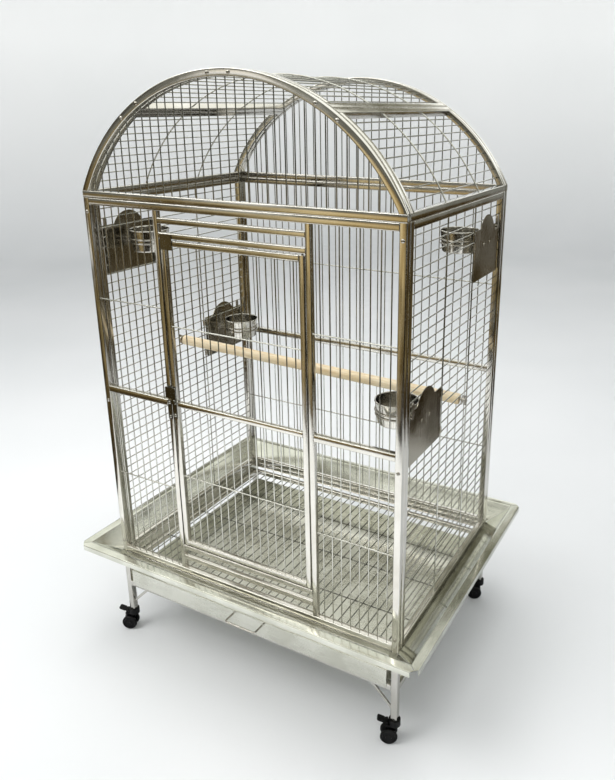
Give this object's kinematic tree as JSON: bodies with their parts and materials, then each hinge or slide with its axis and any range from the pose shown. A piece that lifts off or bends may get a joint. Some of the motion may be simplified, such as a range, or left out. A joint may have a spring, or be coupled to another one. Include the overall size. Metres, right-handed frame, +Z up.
{
  "type": "parrot cage",
  "caption": "Free-standing steel wire parrot cage with an arched roof, hinged front door, swing-out feeders, wooden perch, sloped seed guards, drawer tray and castors.",
  "frame": {"origin": "on the floor under the middle of the cage body", "axes": "+X to the right seen from the front, +Y to the back, +Z up; the door is on the -Y side"},
  "size_m": [1.204, 0.928, 1.816],
  "materials": {
    "stainless_tube": "polished",
    "stainless_sheet": "brushed",
    "stainless_fittings": "satin",
    "polished_bowl": "mirror polished",
    "pine": "sanded",
    "castor_plastic": "moulded",
    "castor_tread": "moulded"
  },
  "bodies": {
    "cage_body": {"stand_legs": "stainless_tube", "stand_rails": "stainless_tube", "leg_braces": "stainless_tube", "slide_runners": "stainless_sheet", "seed_guard_front": "stainless_sheet", "seed_guard_back": "stainless_sheet", "seed_guard_left": "stainless_sheet", "seed_guard_right": "stainless_sheet", "front_panel": "stainless_tube", "back_panel": "stainless_tube", "left_panel": "stainless_tube", "right_panel": "stainless_tube", "dome_front": "stainless_tube", "dome_back": "stainless_tube", "roof_left": "stainless_tube", "roof_top": "stainless_tube", "roof_right": "stainless_tube", "panel_bolts": "stainless_fittings", "perch": "pine", "perch_fixings": "stainless_fittings", "door_pins": "stainless_fittings", "latch_keeper": "stainless_sheet", "castor_stems": "stainless_fittings"},
    "door": {"door_panel": "stainless_tube", "door_stop": "stainless_sheet", "latch_base": "stainless_sheet"},
    "door_latch": {"latch_lever": "stainless_fittings"},
    "tray_drawer": {"tray": "stainless_sheet", "tray_handle": "stainless_fittings"},
    "floor_grate": {"grate": "stainless_tube"},
    "feeder_left_front": {"feeder_door_left_front": "stainless_sheet", "bowl_ring_left_front": "stainless_fittings"},
    "feeder_turn_left_front": {"feeder_latch_left_front": "stainless_fittings"},
    "feed_bowl_left_front": {"bowl_left_front": "polished_bowl"},
    "feeder_left_back": {"feeder_door_left_back": "stainless_sheet", "bowl_ring_left_back": "stainless_fittings"},
    "feeder_turn_left_back": {"feeder_latch_left_back": "stainless_fittings"},
    "feed_bowl_left_back": {"bowl_left_back": "polished_bowl"},
    "feeder_right_front": {"feeder_door_right_front": "stainless_sheet", "bowl_ring_right_front": "stainless_fittings"},
    "feeder_turn_right_front": {"feeder_latch_right_front": "stainless_fittings"},
    "feed_bowl_right_front": {"bowl_right_front": "polished_bowl"},
    "feeder_right_back": {"feeder_door_right_back": "stainless_sheet", "bowl_ring_right_back": "stainless_fittings"},
    "feeder_turn_right_back": {"feeder_latch_right_back": "stainless_fittings"},
    "feed_bowl_right_back": {"bowl_right_back": "polished_bowl"},
    "castor_front_left": {"castor_fork_front_left": "castor_plastic"},
    "castor_roller_front_left": {"castor_wheel_front_left": "castor_tread"},
    "castor_pedal_front_left": {"castor_brake_front_left": "castor_plastic"},
    "castor_front_right": {"castor_fork_front_right": "castor_plastic"},
    "castor_roller_front_right": {"castor_wheel_front_right": "castor_tread"},
    "castor_pedal_front_right": {"castor_brake_front_right": "castor_plastic"},
    "castor_back_left": {"castor_fork_back_left": "castor_plastic"},
    "castor_roller_back_left": {"castor_wheel_back_left": "castor_tread"},
    "castor_pedal_back_left": {"castor_brake_back_left": "castor_plastic"},
    "castor_back_right": {"castor_fork_back_right": "castor_plastic"},
    "castor_roller_back_right": {"castor_wheel_back_right": "castor_tread"},
    "castor_pedal_back_right": {"castor_brake_back_right": "castor_plastic"}
  },
  "joints": [
    {"name": "door_hinge", "type": "hinge", "parent": "cage_body", "child": "door", "pos_m": [0.224, -0.36, 0.9], "axis": [0, 0, 1], "range_deg": [0, 105]},
    {"name": "door_latch_turn", "type": "hinge", "parent": "door", "child": "door_latch", "pos_m": [-0.224, -0.371, 0.9035], "axis": [0, 1, 0], "range_deg": [0, 80]},
    {"name": "tray_slide", "type": "slide", "parent": "cage_body", "child": "tray_drawer", "axis": [0, -1, 0], "range_m": [0, 0.55]},
    {"name": "grate_slide", "type": "slide", "parent": "cage_body", "child": "floor_grate", "axis": [0, -1, 0], "range_m": [0, 0.55]},
    {"name": "feeder_hinge_left_front", "type": "hinge", "parent": "cage_body", "child": "feeder_left_front", "pos_m": [-0.50179, -0.1034, 1.3155], "axis": [0, 0, -1], "range_deg": [0, 90]},
    {"name": "feeder_latch_turn_left_front", "type": "hinge", "parent": "feeder_left_front", "child": "feeder_turn_left_front", "pos_m": [-0.50179, -0.3034, 1.379], "axis": [-1, 0, 0], "range_deg": [0, 90]},
    {"name": "bowl_lift_left_front", "type": "slide", "parent": "feeder_left_front", "child": "feed_bowl_left_front", "axis": [0, 0, 1], "range_m": [0, 0.08]},
    {"name": "feeder_hinge_left_back", "type": "hinge", "parent": "cage_body", "child": "feeder_left_back", "pos_m": [-0.50179, 0.1034, 0.9235], "axis": [0, 0, 1], "range_deg": [0, 90]},
    {"name": "feeder_latch_turn_left_back", "type": "hinge", "parent": "feeder_left_back", "child": "feeder_turn_left_back", "pos_m": [-0.50179, 0.3034, 0.987], "axis": [1, 0, 0], "range_deg": [0, 90]},
    {"name": "bowl_lift_left_back", "type": "slide", "parent": "feeder_left_back", "child": "feed_bowl_left_back", "axis": [0, 0, 1], "range_m": [0, 0.08]},
    {"name": "feeder_hinge_right_front", "type": "hinge", "parent": "cage_body", "child": "feeder_right_front", "pos_m": [0.50179, -0.1034, 0.9235], "axis": [0, 0, 1], "range_deg": [0, 90]},
    {"name": "feeder_latch_turn_right_front", "type": "hinge", "parent": "feeder_right_front", "child": "feeder_turn_right_front", "pos_m": [0.50179, -0.3034, 0.987], "axis": [-1, 0, 0], "range_deg": [0, 90]},
    {"name": "bowl_lift_right_front", "type": "slide", "parent": "feeder_right_front", "child": "feed_bowl_right_front", "axis": [0, 0, 1], "range_m": [0, 0.08]},
    {"name": "feeder_hinge_right_back", "type": "hinge", "parent": "cage_body", "child": "feeder_right_back", "pos_m": [0.50179, 0.1034, 1.3155], "axis": [0, 0, -1], "range_deg": [0, 90]},
    {"name": "feeder_latch_turn_right_back", "type": "hinge", "parent": "feeder_right_back", "child": "feeder_turn_right_back", "pos_m": [0.50179, 0.3034, 1.379], "axis": [1, 0, 0], "range_deg": [0, 90]},
    {"name": "bowl_lift_right_back", "type": "slide", "parent": "feeder_right_back", "child": "feed_bowl_right_back", "axis": [0, 0, 1], "range_m": [0, 0.08]},
    {"name": "castor_swivel_front_left", "type": "hinge", "parent": "cage_body", "child": "castor_front_left", "pos_m": [-0.498, -0.36, 0.07], "axis": [0, 0, 1], "continuous": true},
    {"name": "castor_roll_front_left", "type": "hinge", "parent": "castor_front_left", "child": "castor_roller_front_left", "pos_m": [-0.5125, -0.36676, 0.025], "axis": [0.4226, -0.9063, 0], "continuous": true},
    {"name": "castor_brake_front_left", "type": "hinge", "parent": "castor_front_left", "child": "castor_pedal_front_left", "pos_m": [-0.51794, -0.3693, 0.0677], "axis": [0.4226, -0.9063, 0], "range_deg": [0, 14]},
    {"name": "castor_swivel_front_right", "type": "hinge", "parent": "cage_body", "child": "castor_front_right", "pos_m": [0.498, -0.36, 0.07], "axis": [0, 0, 1], "continuous": true},
    {"name": "castor_roll_front_right", "type": "hinge", "parent": "castor_front_right", "child": "castor_roller_front_right", "pos_m": [0.4835, -0.36676, 0.025], "axis": [0.4226, -0.9063, 0], "continuous": true},
    {"name": "castor_brake_front_right", "type": "hinge", "parent": "castor_front_right", "child": "castor_pedal_front_right", "pos_m": [0.47806, -0.3693, 0.0677], "axis": [0.4226, -0.9063, 0], "range_deg": [0, 14]},
    {"name": "castor_swivel_back_left", "type": "hinge", "parent": "cage_body", "child": "castor_back_left", "pos_m": [-0.498, 0.36, 0.07], "axis": [0, 0, 1], "continuous": true},
    {"name": "castor_roll_back_left", "type": "hinge", "parent": "castor_back_left", "child": "castor_roller_back_left", "pos_m": [-0.5125, 0.35324, 0.025], "axis": [0.4226, -0.9063, 0], "continuous": true},
    {"name": "castor_brake_back_left", "type": "hinge", "parent": "castor_back_left", "child": "castor_pedal_back_left", "pos_m": [-0.51794, 0.3507, 0.0677], "axis": [0.4226, -0.9063, 0], "range_deg": [0, 14]},
    {"name": "castor_swivel_back_right", "type": "hinge", "parent": "cage_body", "child": "castor_back_right", "pos_m": [0.498, 0.36, 0.07], "axis": [0, 0, 1], "continuous": true},
    {"name": "castor_roll_back_right", "type": "hinge", "parent": "castor_back_right", "child": "castor_roller_back_right", "pos_m": [0.4835, 0.35324, 0.025], "axis": [0.4226, -0.9063, 0], "continuous": true},
    {"name": "castor_brake_back_right", "type": "hinge", "parent": "castor_back_right", "child": "castor_pedal_back_right", "pos_m": [0.47806, 0.3507, 0.0677], "axis": [0.4226, -0.9063, 0], "range_deg": [0, 14]}
  ]
}
